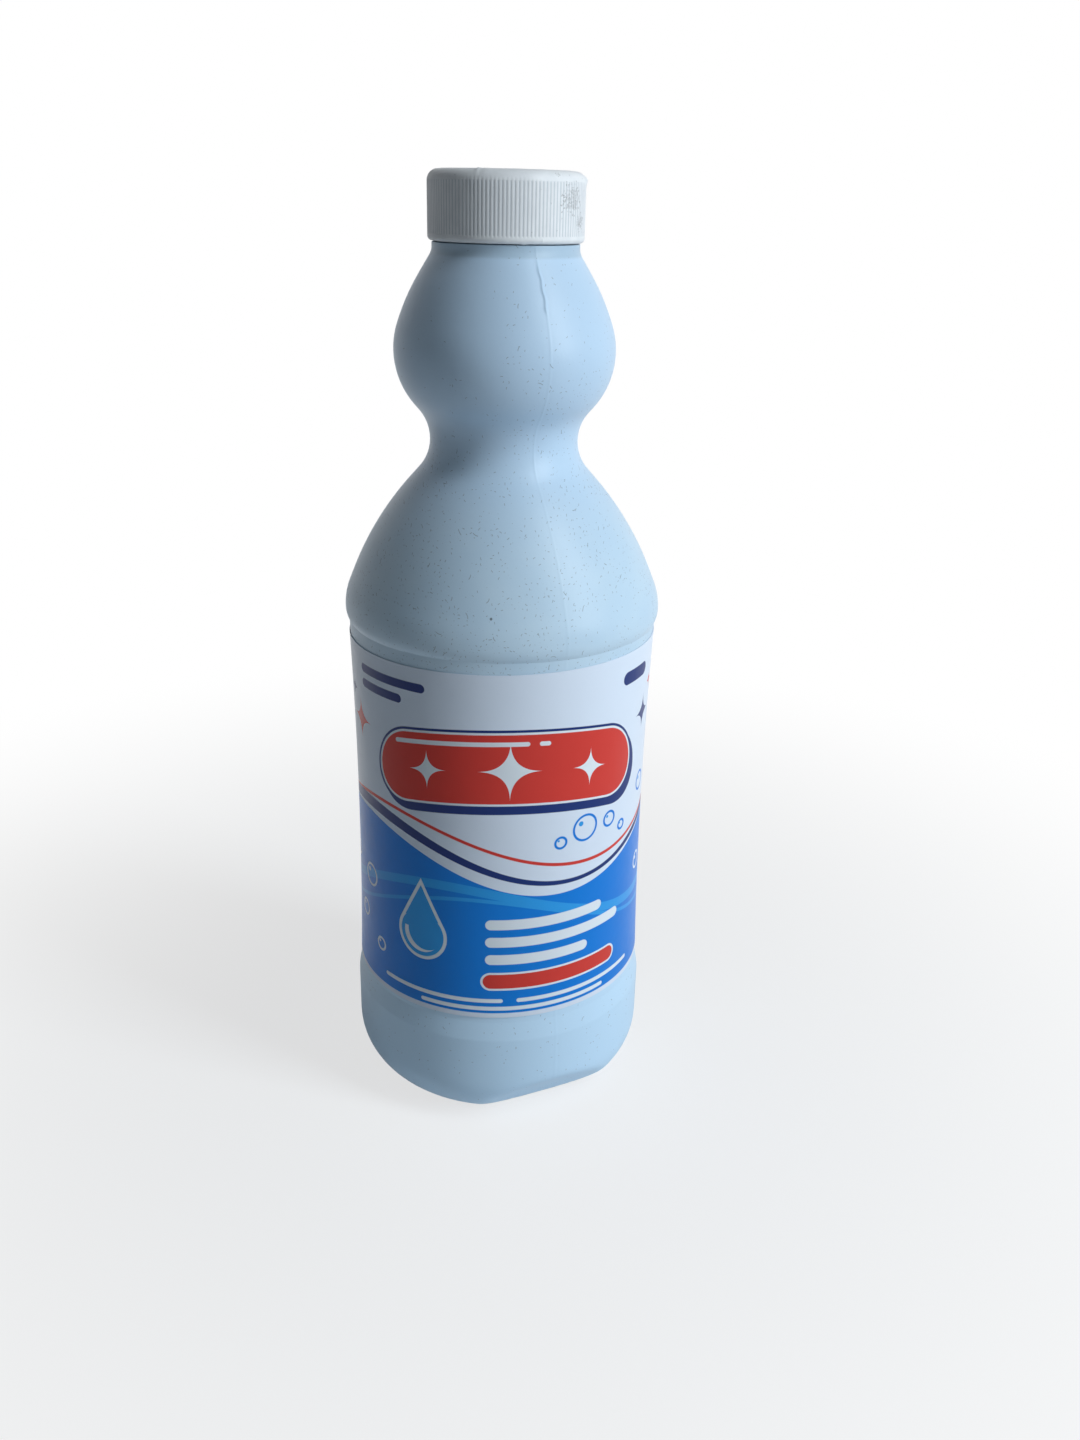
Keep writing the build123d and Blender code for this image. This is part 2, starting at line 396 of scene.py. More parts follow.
def make_bottle(material):
    """Blown skin inside and out, with its neck thread, parting line and base."""

    def step(level):
        if level > COLLAR_LEVEL:
            return NECK_STEP
        return CROWN_STEP if level > SEAM_HIGH_FROM - SEAM_MARGIN else BODY_STEP

    outside = sampled_outline(NECK_CORNERS + BODY_CORNERS, step)
    inside = sampled_outline(THROAT_CORNERS + BODY_CORNERS, lambda level: INSIDE_STEP, WALL)
    lip_centre = complex(BORE_RADIUS + LIP_ROUND, mouth_level - LIP_ROUND)
    lip_turns = np.linspace(pi, pi / 2, LIP_POINTS)[1:-1]
    lip = [lip_centre + LIP_ROUND * complex(cos(a), sin(a)) for a in lip_turns]
    outline = inside[::-1] + lip + outside
    hidden = len(inside)
    map_weight = np.ones(len(outline))
    map_weight[:hidden] = INSIDE_MAP_SHARE

    def shape(turn, radius, level):
        out = np.zeros(turn.shape)
        out[hidden:] = 1
        swing = sum(np.sin(count * turn + level / rise + lead) for count, rise, lead in WAVES)
        wave = (len(WAVES) + swing) / (2 * len(WAVES))
        calm = soft_step(level, *WAVE_FOOT) * soft_step(CREASE_LEVEL - level, *WAVE_CROWN)
        skin = radius - out * WAVE_DEPTH * wave * calm
        skin = skin + out * seam_ridge(turn, radius, level) * soft_step(level, *SEAM_FOOT)
        on_neck = out * (level > COLLAR_LEVEL + NECK_STEP)
        skin = skin + on_neck * THREAD_HEIGHT * thread_share(turn, level, THREAD_BASE, NECK_THREAD)
        x, y = skin * np.cos(turn), skin * np.sin(turn)
        along = x * cos(PARTING_ANGLE) + y * sin(PARTING_ANGLE)
        across = y * cos(PARTING_ANGLE) - x * sin(PARTING_ANGLE)
        weld = np.exp(-((across / WELD_WIDTH) ** 2))
        weld = weld * soft_step(WELD_LENGTH / 2 - np.abs(along), 0, WELD_END)
        weld = weld * out * (level < PUSH_UP + WELD_BAND)
        points = np.stack([x, y, level - WELD_HEIGHT * weld], axis=-1)
        points[:hidden] = heel_flats(points[:hidden], WALL)
        points[hidden:] = heel_flats(points[hidden:], 0)
        return points[..., 0], points[..., 1], points[..., 2]

    even = np.arange(BODY_COLUMNS) * 2 * pi / BODY_COLUMNS
    clear = np.min([np.abs(turn_between(even, angle)) for angle in SEAM_ANGLES], axis=0)
    fine = [angle + SEAM_COLUMN_REACH * offset for angle in SEAM_ANGLES for offset in SEAM_COLUMNS]
    coarse = even[clear > SEAM_COLUMN_CLEAR * SEAM_COLUMN_REACH]
    columns = np.sort(np.append(coarse, fine) % (2 * pi))
    return lathe("bottle_skin", outline, columns, shape, map_weight, material)


def knock(turn, angle, height, half_width):
    """Small rise on the cap at an angle in degrees, by its height and half width."""
    across = turn_between(turn, radians(angle)) * cap_radius
    return height * np.exp(-((across / half_width) ** 2))


def make_cap(material):
    """Ribbed cap with round edges, the knocks on them and a thread inside."""
    top = cap_high - CAP_TOP_SLACK
    rim_level = cap_high - CAP_TOP_ROUND + RIM_KNOCK_RISE

    def outer_step(level):
        if min(abs(level - rib_low), abs(level - rib_high)) < RIB_END_REACH:
            return RIB_END_STEP
        return EDGE_STEP if rib_high < level < top - EDGE_STEP else CAP_STEP

    outer = sampled_outline(
        [
            (0.0, top, 0.0),
            (cap_radius, top, CAP_TOP_ROUND),
            (cap_radius, cap_low, CAP_LOW_ROUND),
            (SKIRT_RADIUS + SKIRT_BEVEL, cap_low, 0.0),
        ],
        outer_step,
    )
    inner = sampled_outline(
        [
            (SKIRT_RADIUS + SKIRT_BEVEL, cap_low, 0.0),
            (SKIRT_RADIUS, cap_low + SKIRT_BEVEL, SKIRT_FOOT_ROUND),
            (SKIRT_RADIUS, plate_level, SKIRT_TOP_ROUND),
            (0.0, plate_level, 0.0),
        ],
        lambda level: THREAD_STEP if level < plate_level - THREAD_STEP else CAP_STEP,
    )
    outline = outer + inner[1:]
    seen = len(outer)
    map_weight = np.ones(len(outline))
    map_weight[seen:] = INSIDE_MAP_SHARE

    def shape(turn, radius, level):
        out = np.zeros(turn.shape)
        out[:seen] = 1
        rib = turn * RIB_COUNT / (2 * pi)
        off = np.abs(rib - np.round(rib)) / (RIB_GROOVE_SHARE / 2)
        tip = RIB_TIP * np.minimum(off, 1) ** 2
        ends = soft_step(level - rib_low - tip, *RIB_LOW_SOFT)
        ends = ends * soft_step(rib_high - level - tip, *RIB_HIGH_SOFT)
        groove = RIB_DEPTH * (1 - soft_step(off, 0, 1)) * ends
        thread = THREAD_HEIGHT * thread_share(turn, level, THREAD_BASE - THREAD_PITCH / 2, CAP_THREAD)
        on_wall = radius > SKIRT_RADIUS - SKIRT_SLACK
        skin = radius - out * groove * on_wall - (1 - out) * thread * on_wall
        burr = knock(turn, *BURR) * np.exp(-(((level - BURR_LEVEL) / BURR_REACH) ** 2))
        tick = knock(turn, *FOOT_TICK) * soft_step(rib_low - level, 0.0, FOOT_TICK_FADE)
        skin = skin + out * on_wall * (burr + tick * (level > cap_low + FOOT_TICK_FROM))
        on_rim = soft_step(level, rim_level, top) * soft_step(radius, *RIM_KNOCK_RADII)
        lift = sum(knock(turn, *item) for item in RIM_KNOCKS) * out * on_rim
        at_foot = soft_step(-level, -cap_low - FOOT_KNOCK_REACH, -cap_low)
        sag = knock(turn, *FOOT_KNOCK) * out * at_foot
        return skin * np.cos(turn), skin * np.sin(turn), level + lift - sag

    columns = np.array([(k + p) * 2 * pi / RIB_COUNT for k in range(RIB_COUNT) for p in RIB_PHASES])
    return lathe("cap_skin", outline, columns, shape, map_weight, material)


def make_wad(material):
    """Foam disc under the cap's plate, dented where the mouth has pressed on it."""
    corners = [
        (0.0, plate_level, 0.0),
        (liner_radius, plate_level, WAD_TOP_ROUND),
        (liner_radius, mouth_level, WAD_FOOT_ROUND),
        (0.0, mouth_level, 0.0),
    ]
    outline = sampled_outline(corners, lambda level: WAD_STEP)

    def shape(turn, radius, level):
        lip = (BORE_RADIUS + NECK_RADIUS) / 2
        dent = soft_step(-np.abs(radius - lip), -WAD_DENT_OUTER, -WAD_DENT_INNER)
        dent = dent * (level < mouth_level + WAD_FACE)
        return radius * np.cos(turn), radius * np.sin(turn), level + WAD_DENT * dent

    columns = np.arange(WAD_COLUMNS) * 2 * pi / WAD_COLUMNS
    return lathe("wad_disc", outline, columns, shape, np.ones(len(outline)), material)


def make_label(material):
    """Strip of film wound once round the hollow panel, its outer end lapped over its inner end."""
    outside = NECK_CORNERS + BODY_CORNERS
    arc_centre, arc_radius = roundings(outside)[outside.index(PANEL_CORNER) - 1][:2]
    lap_sweep = LAP / LABEL_RADIUS
    start = LAP_ANGLE - lap_sweep / 2 - 2 * pi
    share = np.linspace(0, 1, LABEL_COLUMNS)
    rise = np.linspace(0, 1, LABEL_ROWS)
    up = np.concatenate([rise, rise[::-1]])
    outer = np.repeat([1.0, 0.0], LABEL_ROWS)
    along, up = np.meshgrid(share * (2 * pi + lap_sweep), up)
    turn = start + along
    lifted = soft_step(along, 2 * pi - LAP_RAMP, 2 * pi)
    stand_off = GLUE + (FILM + GLUE) * lifted + FILM * outer[:, None]
    flat_level = label_low + (label_high - label_low) * up
    level = flat_level + tan(LABEL_TILT) * LABEL_RADIUS * np.cos(turn)
    radius = arc_centre.real - np.sqrt((arc_radius - stand_off) ** 2 - (level - arc_centre.imag) ** 2)
    points = np.stack([radius * np.cos(turn), radius * np.sin(turn), level], axis=-1)

    rows = 2 * LABEL_ROWS
    place = np.arange(rows * LABEL_COLUMNS).reshape(rows, LABEL_COLUMNS)
    ring = np.vstack([place, place[:1]])
    faces = np.stack([ring[:-1, :-1], ring[:-1, 1:], ring[1:, 1:], ring[1:, :-1]], axis=-1).reshape(-1, 4)
    faces_up = [low + span * rise for low, span in (LABEL_MAP_OUTER, LABEL_MAP_INNER)]
    heights = np.concatenate([*faces_up, [1.0]])
    across = LABEL_MAP_ACROSS[0] + LABEL_MAP_ACROSS[1] * share
    corners = np.empty((rows, LABEL_COLUMNS - 1, 4, 2))
    corners[..., 0] = np.stack([across[:-1], across[1:], across[1:], across[:-1]], axis=-1)[None]
    corners[..., 1] = np.stack([heights[:-1], heights[:-1], heights[1:], heights[1:]], axis=-1)[:, None]
    corners = corners.reshape(-1, 4, 2)
    for column, inset, outset, flip in LABEL_MAP_ENDS:
        near = place[:LABEL_ROWS, column]
        far = place[LABEL_ROWS:, column][::-1]
        strip = np.stack([near[:-1], near[1:], far[1:], far[:-1]], axis=-1)[:, ::flip]
        side = np.array([outset, outset, inset, inset])
        tall = np.stack([heights[:LABEL_ROWS - 1], heights[1:LABEL_ROWS]], axis=-1)[:, [0, 1, 1, 0]]
        flat = np.stack([np.broadcast_to(side, tall.shape), tall], axis=-1)[:, ::flip]
        faces = np.concatenate([faces, strip])
        corners = np.concatenate([corners, flat])
    piece = finish_mesh("label_film", points, faces, corners, material)
    print_at = np.stack([(turn - FRONT) * LABEL_RADIUS, flat_level - label_middle, 0 * level], axis=-1)
    attribute = piece.data.attributes.new(PRINT_PLACE, "FLOAT_VECTOR", "POINT")
    attribute.data.foreach_set("vector", print_at.astype(np.float32).ravel())
    piece.data.shade_smooth()
    piece.data.set_sharp_from_angle(angle=SHARP_ANGLE)
    return piece


# Materials

class Field:
    """A number over a surface; arithmetic on it adds math nodes to its material."""

    def __init__(self, socket):
        self.socket = socket

    def math(self, operation, *others, clamp=False):
        node = self.socket.id_data.nodes.new("ShaderNodeMath")
        node.operation = operation
        node.use_clamp = clamp
        for slot, value in zip(node.inputs, (self, *others)):
            set_or_link(slot, value)
        return Field(node.outputs[0])

    def __add__(self, other):
        return self.math("ADD", other)

    def __sub__(self, other):
        return self.math("SUBTRACT", other)

    def __mul__(self, other):
        return self.math("MULTIPLY", other)

    def __truediv__(self, other):
        return self.math("DIVIDE", other)

    def __neg__(self):
        return self.math("MULTIPLY", -1.0)

    def __abs__(self):
        return self.math("ABSOLUTE")

    def lower(self, other):
        return self.math("MINIMUM", other)

    def higher(self, other):
        return self.math("MAXIMUM", other)

    def root(self):
        return self.math("SQRT")

    def fade(self, low, high):
        """Smooth rise from 0 at low to 1 at high."""
        node = self.socket.id_data.nodes.new("ShaderNodeMapRange")
        node.interpolation_type = "SMOOTHSTEP"
        for slot, value in zip(node.inputs, (self, low, high, 0.0, 1.0)):
            set_or_link(slot, value)
        return Field(node.outputs[0])

    def span(self, low, high):
        """Even change from low where the field is 0 to high where it is 1."""
        return self * (high - low) + low


def set_or_link(slot, value):
    """Give a node's input a constant, or link a field or a socket to it."""
    if isinstance(value, Field):
        value = value.socket
    if isinstance(value, bpy.types.NodeSocket):
        value.id_data.links.new(value, slot)
    else:
        slot.default_value = value


def highest(fields):
    """Highest of several fields at each place."""
    return reduce(Field.higher, fields)


def length_of(a, b):
    """Length of a line whose parts at right angles are a and b."""
    return (a * a + b * b).root()


def new_material(name):
    """Material with its node tree and its Principled shader."""
    material = bpy.data.materials.new(name)
    material.use_nodes = True
    return material, material.node_tree, material.node_tree.nodes["Principled BSDF"]


# Sockets of a mix node when it mixes colours
MIX_SHARE = 0
MIX_BELOW = 6
MIX_ABOVE = 7
MIX_RESULT = 2


def mixed(tree, below, above, share):
    """Colour below with above laid over it by share."""
    node = tree.nodes.new("ShaderNodeMix")
    node.data_type = "RGBA"
    set_or_link(node.inputs[MIX_SHARE], share)
    for slot, colour in ((MIX_BELOW, below), (MIX_ABOVE, above)):
        set_or_link(node.inputs[slot], (*colour, 1.0) if isinstance(colour, tuple) else colour)
    return node.outputs[MIX_RESULT]


def combined(tree, *values):
    """Vector from up to three numbers or fields."""
    node = tree.nodes.new("ShaderNodeCombineXYZ")
    for slot, value in zip(node.inputs, values):
        set_or_link(slot, value)
    return node.outputs[0]


def noise(tree, vector, scale, detail):
    """Soft noise from 0 to 1."""
    node = tree.nodes.new("ShaderNodeTexNoise")
    set_or_link(node.inputs["Vector"], vector)
    node.inputs["Scale"].default_value = scale
    node.inputs["Detail"].default_value = detail
    return Field(node.outputs[0])


def surface(tree, shader, colour, roughness, specular, height, depth):
    """Give a shader its colour, roughness and shine, and a height of 0 to 1 that stands depth mm tall."""
    tree.links.new(colour, shader.inputs["Base Color"])
    set_or_link(shader.inputs["Roughness"], roughness)
    shader.inputs["Specular IOR Level"].default_value = specular
    node = tree.nodes.new("ShaderNodeBump")
    node.inputs["Distance"].default_value = depth * MM
    set_or_link(node.inputs["Height"], height)
    tree.links.new(node.outputs[0], shader.inputs["Normal"])


def turned_place(tree):
    """Place on a turned piece: the point in millimetres, its angle from the front, radius and level."""
    coordinates = tree.nodes.new("ShaderNodeTexCoord")
    scale = tree.nodes.new("ShaderNodeVectorMath")
    scale.operation = "SCALE"
    scale.inputs["Scale"].default_value = 1 / MM
    tree.links.new(coordinates.outputs["Object"], scale.inputs[0])
    parts = tree.nodes.new("ShaderNodeSeparateXYZ")
    tree.links.new(scale.outputs[0], parts.inputs[0])
    x, y, level = (Field(output) for output in parts.outputs)
    angle = x.math("ARCTAN2", -y)
    return scale.outputs[0], angle, length_of(x, y), level


HAIR_BEND = 1.6
HAIR_SHORTEST = 0.2
HAIR_CORE = 0.3


def hairs(tree, across, level, cell, length, width, amount):
    """Mask of short bent hairs at random turns, one in each of that share of cells which amount gives."""
    place = combined(tree, across / cell, level / cell)
    cells = tree.nodes.new("ShaderNodeTexVoronoi")
    cells.voronoi_dimensions = "2D"
    cells.inputs["Scale"].default_value = 1.0
    tree.links.new(place, cells.inputs["Vector"])
    local = tree.nodes.new("ShaderNodeVectorMath")
    local.operation = "SUBTRACT"
    tree.links.new(place, local.inputs[0])
    tree.links.new(cells.outputs["Position"], local.inputs[1])
    chance = tree.nodes.new("ShaderNodeSeparateColor")
    tree.links.new(cells.outputs["Color"], chance.inputs[0])
    one, two, three = (Field(output) for output in chance.outputs)
    turned = tree.nodes.new("ShaderNodeVectorRotate")
    turned.rotation_type = "Z_AXIS"
    tree.links.new(local.outputs[0], turned.inputs["Vector"])
    set_or_link(turned.inputs["Angle"], one * (2 * pi))
    parts = tree.nodes.new("ShaderNodeSeparateXYZ")
    tree.links.new(turned.outputs[0], parts.inputs[0])
    a, b = (Field(output) * cell for output in parts.outputs[:2])
    bend = b + a * a * (two - 0.5) * (HAIR_BEND / length)
    reach = three.span(HAIR_SHORTEST, 1.0) * (length / 2)
    inside = (reach - abs(a)).fade(0.0, width) * (-abs(bend)).fade(-width, -HAIR_CORE * width)
    return inside * two.math("LESS_THAN", amount)


# Body plastic: two mottled blues, then tints that are partly painted light and shade, each with the
# levels where it begins and where it is full
BODY_BLUE = (0.545, 0.697, 0.822)
BODY_DEEP = (0.52, 0.677, 0.812)
BODY_MOTTLE_NOISE = (0.09, 3.0)
BODY_MOTTLE = (0.35, 0.65)
BODY_TINTS_AND_PAINTED_LIGHT = (
    # deeper blue over the waist and bulb, partly painted shade
    ((0.495, 0.65, 0.81), 126.0, 158.0),
    # paler, bluer towards the foot, partly painted light from the floor
    ((0.565, 0.765, 0.945), 70.0, 25.0),
    # dark grey-blue band on the collar: painted shade under the cap
    ((0.40, 0.53, 0.65), 189.4, 190.2),
)
BODY_ROUGHNESS = (0.34, 0.46)
BODY_SPECULAR = 0.33
PEEL_NOISE = (1.1, 3.0)
PEEL_DEPTH = 0.014

# Dust on the body: thicker in patches and low down, thin at the foot and on one side of the bulb
DUST = (0.13, 0.16, 0.19)
DUST_ROUGHNESS = 0.2
DUST_LEAST_RADIUS = 10.0
DUST_NOISE = (0.16, 2.0)
DUST_PATCHES = (0.35, 0.7)
DUST_LOW_LEVELS = (186.0, 140.0)
DUST_IN_PATCHES = (0.24, 0.66)
DUST_EVEN = (0.03, 0.19)
DUST_FOOT_LEVELS = (10.0, 100.0)
DUST_FOOT_SHARE = (0.18, 1.0)
CLEAN_LEVELS = (148.0, 160.0)
CLEAN_ANGLES = (radians(12), radians(-20))
CLEAN_SHARE = (1.0, 0.25)

# Fine hairs, long hairs and specks by cell, length, width, shift across and up, share and strength
DUST_KINDS = (
    (1.15, 0.6, 0.08, 0.0, 0.0, 1.0, 0.66),
    (3.6, 1.3, 0.10, 31.0, 17.0, 0.7, 0.62),
    (1.6, 0.2, 0.11, 57.0, 29.0, 1.0, 0.75),
)
DARK_SPOT = (radians(-3.8), 124.0)
DARK_SPOT_EDGE = (0.32, 0.2)
DARK_SPOT_STRENGTH = 0.9


def body_plastic():
    """Satin blown polyethylene: faint mottling, tints partly painted light and shade, dust hairs and
    specks, a fine orange peel.
    """
    material, tree, shader = new_material("body_plastic")
    point, angle, radius, level = turned_place(tree)
    mottle = noise(tree, point, *BODY_MOTTLE_NOISE)
    colour = mixed(tree, BODY_BLUE, BODY_DEEP, mottle.fade(*BODY_MOTTLE))
    # tints laid on by level: painted shade on the collar, partly painted shade and light over the bulb
    # and foot
    for tone_and_painted_light, begin, full in BODY_TINTS_AND_PAINTED_LIGHT:
        colour = mixed(tree, colour, tone_and_painted_light, level.fade(begin, full))

    patches = noise(tree, point, *DUST_NOISE).fade(*DUST_PATCHES)
    low_part = level.fade(*DUST_LOW_LEVELS)
    amount = patches * low_part.span(*DUST_IN_PATCHES) + low_part.span(*DUST_EVEN)
    amount = amount * level.fade(*DUST_FOOT_LEVELS).span(*DUST_FOOT_SHARE)
    clean_side = level.fade(*CLEAN_LEVELS) * angle.fade(*CLEAN_ANGLES)
    amount = amount * clean_side.span(*CLEAN_SHARE)
    across = angle * radius.higher(DUST_LEAST_RADIUS)
    spot_angle, spot_level = DARK_SPOT
    spot = length_of(across - radius * spot_angle, level - spot_level).fade(*DARK_SPOT_EDGE)
    marks = [spot * DARK_SPOT_STRENGTH]
    for cell, length, width, right, up, share, strength in DUST_KINDS:
        kind = hairs(tree, across + right, level + up, cell, length, width, amount * share)
        marks.append(kind * strength)
    dust = highest(marks)
    colour = mixed(tree, colour, DUST, dust)

    roughness = mottle.span(*BODY_ROUGHNESS) + dust * DUST_ROUGHNESS
    peel = noise(tree, point, *PEEL_NOISE)
    surface(tree, shader, colour, roughness, BODY_SPECULAR, peel, PEEL_DEPTH)
    return material


# Cap plastic: two mottled whites and the shade down the grooves
CAP_WHITE = (0.81, 0.82, 0.835)
CAP_SHADE = (0.765, 0.777, 0.795)
CAP_MOTTLE_NOISE = (0.35, 3.0)
CAP_MOTTLE = (0.4, 0.7)
CAP_ROUGHNESS = (0.42, 0.58)
CAP_SPECULAR = 0.35
CAP_GRAIN_NOISE = (1.6, 3.0)
CAP_GRAIN_DEPTH = 0.004
GROOVE_SHADE = (0.56, 0.585, 0.615)
GROOVE_FADE = 0.3
GROOVE_FROM = SKIRT_RADIUS + 0.6

# Grime on the cap: smudges by angle from the front in degrees, level, half width and half height, filled
# with blotches and dots; specks lie everywhere; dots and specks by cell, length and width
GRIME = (0.20, 0.19, 0.19)
GRIME_ROUGHNESS = 0.25
CAP_SMUDGES = ((54.0, 200.4, 4.4, 4.2), (66.0, 196.4, 2.4, 2.2), (39.5, 204.6, 1.2, 0.5))
SMUDGE_EDGE = (1.1, 0.2)
BLOTCH_NOISE = (1.5, 6.0)
BLOTCH_GAIN = 0.32
BLOTCH_EDGE = (0.68, 0.88)
BLOTCH_REACH = (0.0, 0.3)
BLOTCH_STRENGTH = 0.28
DOTS = (0.6, 0.8, 0.16)
DOT_SHIFT = 13.0
DOT_STRENGTH = 0.62
SPECKS = (2.4, 0.5, 0.10)
SPECK_SHARE = 0.22
SPECK_STRENGTH = 0.4


def cap_plastic():
    """Plain moulded cap: a shade down the grooves and scuffed grime on its right side."""
    material, tree, shader = new_material("cap_plastic")
    point, angle, radius, level = turned_place(tree)
    mottle = noise(tree, point, *CAP_MOTTLE_NOISE)
    colour = mixed(tree, CAP_WHITE, CAP_SHADE, mottle.fade(*CAP_MOTTLE))
    ribbed = level.fade(rib_low, rib_low + GROOVE_FADE) * level.fade(rib_high, rib_high - GROOVE_FADE)
    groove = (-radius + cap_radius).fade(0.0, RIB_DEPTH) * ribbed
    groove = groove * radius.math("GREATER_THAN", GROOVE_FROM)
    colour = mixed(tree, colour, GROOVE_SHADE, groove)

    across = angle * cap_radius

    def smudge(turn, height, half_width, half_height):
        right = (across - radians(turn) * cap_radius) / half_width
        return length_of(right, (level - height) / half_height).fade(*SMUDGE_EDGE)

    near = highest(smudge(*item) for item in CAP_SMUDGES)
    blotches = (noise(tree, point, *BLOTCH_NOISE) + near * BLOTCH_GAIN).fade(*BLOTCH_EDGE)
    blotches = blotches * near.fade(*BLOTCH_REACH)
    dots = hairs(tree, across + DOT_SHIFT, level, *DOTS, near)
    specks = hairs(tree, across, level, *SPECKS, SPECK_SHARE)
    grime = highest([blotches * BLOTCH_STRENGTH, dots * DOT_STRENGTH, specks * SPECK_STRENGTH])
    colour = mixed(tree, colour, GRIME, grime)

    roughness = mottle.span(*CAP_ROUGHNESS) + blotches * GRIME_ROUGHNESS
    grain = noise(tree, point, *CAP_GRAIN_NOISE)
    surface(tree, shader, colour, roughness, CAP_SPECULAR, grain, CAP_GRAIN_DEPTH)
    return material


FOAM_LIGHT = (0.80, 0.81, 0.80)
FOAM_DARK = (0.72, 0.735, 0.74)
FOAM_CELLS = 2.2
FOAM_SHADE = (0.2, 0.6)
FOAM_ROUGHNESS = (0.62, 0.82)
FOAM_SPECULAR = 0.5
FOAM_DEPTH = 0.05


def wad_foam():
    """White closed-cell foam with a fine dimpled face."""
    material, tree, shader = new_material("wad_foam")
    cells = tree.nodes.new("ShaderNodeTexVoronoi")
    cells.inputs["Scale"].default_value = FOAM_CELLS
    tree.links.new(turned_place(tree)[0], cells.inputs["Vector"])
    dimple = Field(cells.outputs["Distance"])
    colour = mixed(tree, FOAM_LIGHT, FOAM_DARK, dimple.fade(*FOAM_SHADE))
    surface(tree, shader, colour, dimple.span(*FOAM_ROUGHNESS), FOAM_SPECULAR, dimple, FOAM_DEPTH)
    return material


# Label: film and inks
INK_EDGE = 0.14
FILM_WHITE = (0.735, 0.805, 0.915)
INK_BLUE = (0.004, 0.205, 0.70)
INK_SKY = (0.03, 0.34, 0.80)
INK_NAVY = (0.012, 0.034, 0.17)
INK_RED = (0.68, 0.05, 0.038)
INK_WHITE = (0.80, 0.85, 0.90)
LABEL_HAZE_NOISE = (0.5, 3.0)
LABEL_ROUGHNESS = (0.27, 0.39)
LABEL_SPECULAR = 0.13
RIPPLE_NOISE = (0.22, 2.0)
RIPPLE_DEPTH = 0.05
WAVES_ROUND = 2


class Print:
    """Inks laid one over another on the label, each where its distance in millimetres is below zero."""

    def __init__(self, tree):
        place = tree.nodes.new("ShaderNodeAttribute")
        place.attribute_name = PRINT_PLACE
        parts = tree.nodes.new("ShaderNodeSeparateXYZ")
        tree.links.new(place.outputs["Vector"], parts.inputs[0])
        self.tree = tree
        self.vector = place.outputs["Vector"]
        self.u, self.v = (Field(output) for output in parts.outputs[:2])
        self.colour = FILM_WHITE

    def ink(self, distance, colour):
        share = distance.math("MULTIPLY_ADD", -1 / INK_EDGE, 0.5, clamp=True)
        self.colour = mixed(self.tree, self.colour, colour, share)

    def disc(self, u, v, radius):
        node = self.tree.nodes.new("ShaderNodeVectorMath")
        node.operation = "DISTANCE"
        self.tree.links.new(self.vector, node.inputs[0])
        node.inputs[1].default_value = (u, v, 0.0)
        return Field(node.outputs["Value"]) - radius

    def pill(self, u, v, half_length, half_height, up=None):
        du = (abs(self.u - u) - (half_length - half_height)).higher(0.0)
        dv = (self.v if up is None else up) - v
        return length_of(du, dv) - half_height

    def plate(self, u, v, half_width, half_height, rounding):
        du = (abs(self.u - u) - (half_width - rounding)).higher(0.0)
        dv = (abs(self.v - v) - (half_height - rounding)).higher(0.0)
        return length_of(du, dv) - rounding

    def sparkle(self, u, v, size, up=None):
        du = abs(self.u - u).root()
        dv = abs((self.v if up is None else up) - v).root()
        return (du + dv) * (du + dv) - size

    def drop(self, u, v, radius, height):
        lean = radius / height
        du = abs(self.u - u)
        dv = self.v - v
        cone = du * sqrt(1 - lean * lean) + dv * lean - radius
        cone = cone.higher(-dv + radius * lean)
        return self.disc(u, v, radius).lower(cone)

    def swing(self, crest):
        return ((self.u - crest) * (WAVES_ROUND / LABEL_RADIUS)).math("COSINE")

    def wave(self, level, height, crest):
        return self.v - self.swing(crest) * height - level


# Label design in millimetres across and up from the middle of its front
# Waves by level, height and place of a crest, with their half widths
FIELD_WAVE = (-4.0, 7.0, -38.0)
FIELD_MARGIN = 1.2
RED_WAVE = (1.4, 6.0, -30.0)
RED_WAVE_HALF = 0.4
NAVY_WAVE = (-1.6, 6.8, -35.0)
NAVY_WAVE_HALF = 0.9
NAVY_SWELL = 0.4
NAVY_SWELL_AT = 20.0
SKY_WAVES = (((-14.5, 6.0, -12.0), 1.1), ((-17.8, 6.6, -6.0), 0.45))

# Plain banner on an arch, with its outlines, shadow, glints and sparkles
ARCH = 1 / 260
BANNER = (2.0, 20.0, 32.0, 9.0)
BANNER_SHADOW = (3.3, 18.6, 32.0, 9.0)
BANNER_INKS = ((0.0, INK_NAVY), (0.6, INK_WHITE), (1.1, INK_RED))
BANNER_GLINTS = ((-9.0, 25.8, 15.0, 0.5), (9.2, 25.8, 1.2, 0.5))
BANNER_SPARKLES = ((-16.0, 19.6, 4.6), (2.0, 19.6, 7.0), (20.0, 19.6, 4.6))

# Bubbles by place and radius, with a glint set off by a share of the radius
BUBBLE_LINE = 0.28
BUBBLE_GLINT_AT = 0.4
BUBBLES_ON_WHITE = (
    (19.5, 3.6, 3.0),
    (26.6, 3.4, 1.7),
    (13.4, 1.4, 1.3),
    (31.2, 0.2, 1.1),
    (41.0, 7.0, 2.2),
)
BUBBLES_ON_BLUE = (
    (-35.5, -14.0, 2.6),
    (-31.0, -30.0, 1.5),
    (-39.5, -24.5, 1.9),
    (-46.0, -12.0, 1.6),
    (42.0, -14.0, 2.0),
)
BUBBLES = ((BUBBLES_ON_WHITE, INK_BLUE, INK_SKY, 0.2), (BUBBLES_ON_BLUE, INK_WHITE, INK_WHITE, 0.22))
SPARKLES = (
    (-38.0, 24.0, 5.2, INK_RED),
    (-42.5, 30.0, 2.6, INK_NAVY),
    (39.5, 24.5, 4.4, INK_NAVY),
    (44.0, 30.5, 2.4, INK_RED),
)

# Drop with its crescent glint, which lies between two discs and under a level
DROP = (-18.0, -22.0, 6.4, 14.0)
DROP_EDGE = 0.8
GLINT_OUTER = (-18.0, -22.0, 4.6)
GLINT_INNER = (-17.0, -21.4, 4.5)
GLINT_TOP = -21.0

